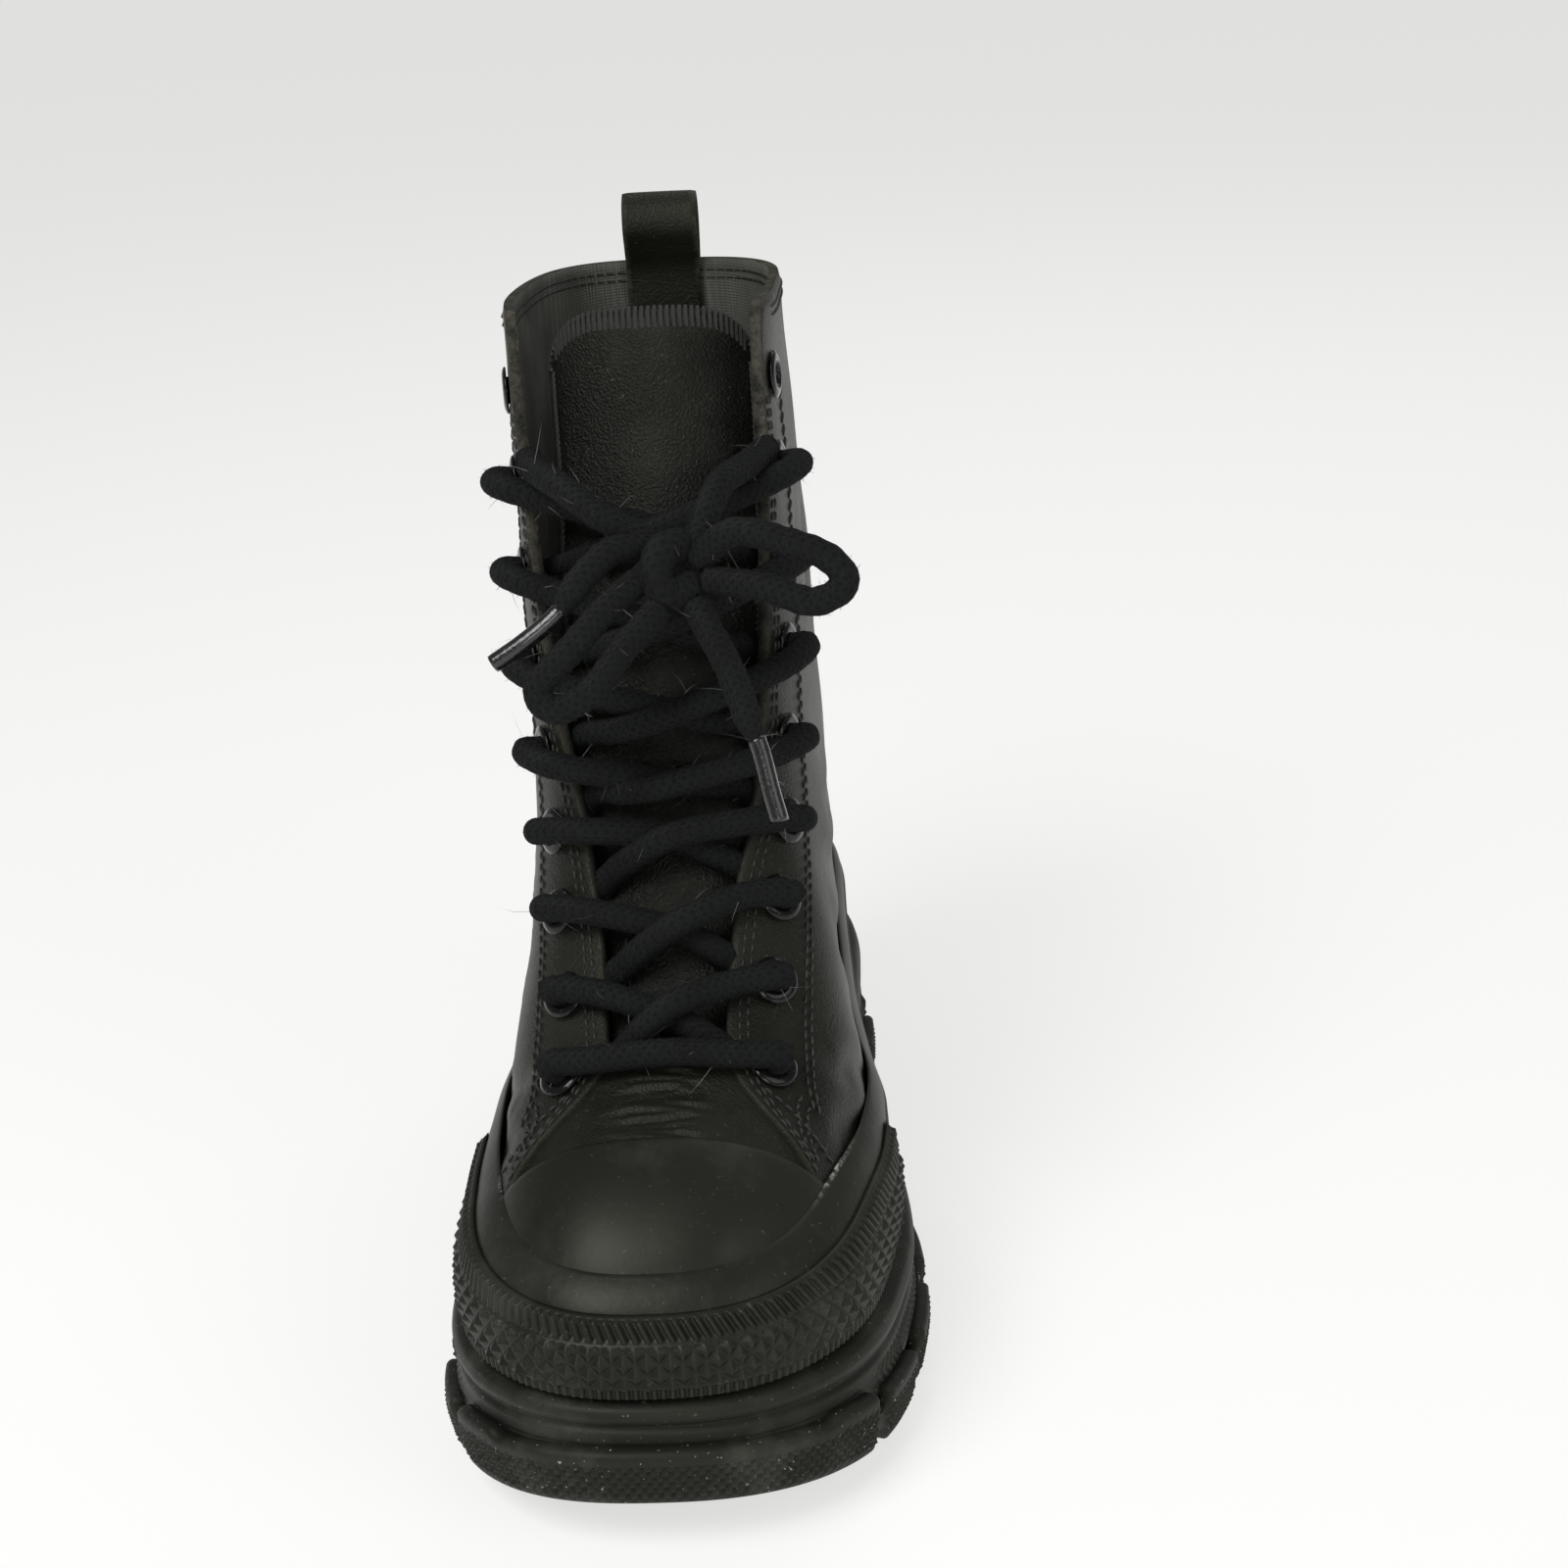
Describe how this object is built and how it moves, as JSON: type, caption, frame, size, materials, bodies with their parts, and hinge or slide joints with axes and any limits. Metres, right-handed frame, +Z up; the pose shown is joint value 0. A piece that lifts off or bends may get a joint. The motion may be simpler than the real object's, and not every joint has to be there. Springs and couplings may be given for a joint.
{
  "type": "high-top platform sneaker",
  "caption": "Left high-top platform sneaker in black leather: lace-up shaft, rubber toe cap and bumper, heel pull loop and a chunky lugged sole.",
  "frame": {"origin": "on the floor, under the middle of the shoe's box, the free bow left out", "axes": "+Z up, +Y from toe to heel, -X the medial side of the left foot"},
  "size_m": [0.1222, 0.2918, 0.2693],
  "materials": {
    "aglets": "smooth film",
    "eyelets": "black enamel",
    "foxing": "smooth, satin",
    "insole": "matte cloth",
    "laces": "fuzzy cotton",
    "midsole": "matte",
    "outsole": "matte, fine texture",
    "pull_loop": "grained, matte cut edges",
    "toe_bumper": "ribbed, matte",
    "toe_cap": "smooth, satin",
    "tongue": "grained, half gloss",
    "upper": "grained, half gloss"
  },
  "bodies": {
    "root": {"aglet_left": "aglets", "aglet_right": "aglets", "bow_knot": "laces", "bow_loop_left": "laces", "bow_loop_right": "laces", "eyelet_lateral_1": "eyelets", "eyelet_lateral_2": "eyelets", "eyelet_lateral_3": "eyelets", "eyelet_lateral_4": "eyelets", "eyelet_lateral_5": "eyelets", "eyelet_lateral_6": "eyelets", "eyelet_lateral_7": "eyelets", "eyelet_lateral_8": "eyelets", "eyelet_lateral_9": "eyelets", "eyelet_medial_1": "eyelets", "eyelet_medial_2": "eyelets", "eyelet_medial_3": "eyelets", "eyelet_medial_4": "eyelets", "eyelet_medial_5": "eyelets", "eyelet_medial_6": "eyelets", "eyelet_medial_7": "eyelets", "eyelet_medial_8": "eyelets", "eyelet_medial_9": "eyelets", "foxing": "foxing", "insole": "insole", "lace_bar_1": "laces", "lace_cross_2": "laces", "lace_cross_3": "laces", "lace_cross_4": "laces", "lace_cross_5": "laces", "lace_cross_6": "laces", "lace_cross_7": "laces", "lace_cross_8": "laces", "lace_end_left": "laces", "lace_end_right": "laces", "midsole": "midsole", "outsole": "outsole", "pull_loop": "pull_loop", "toe_bumper": "toe_bumper", "toe_cap": "toe_cap", "tongue": "tongue", "upper": "upper"}
  },
  "joints": []
}
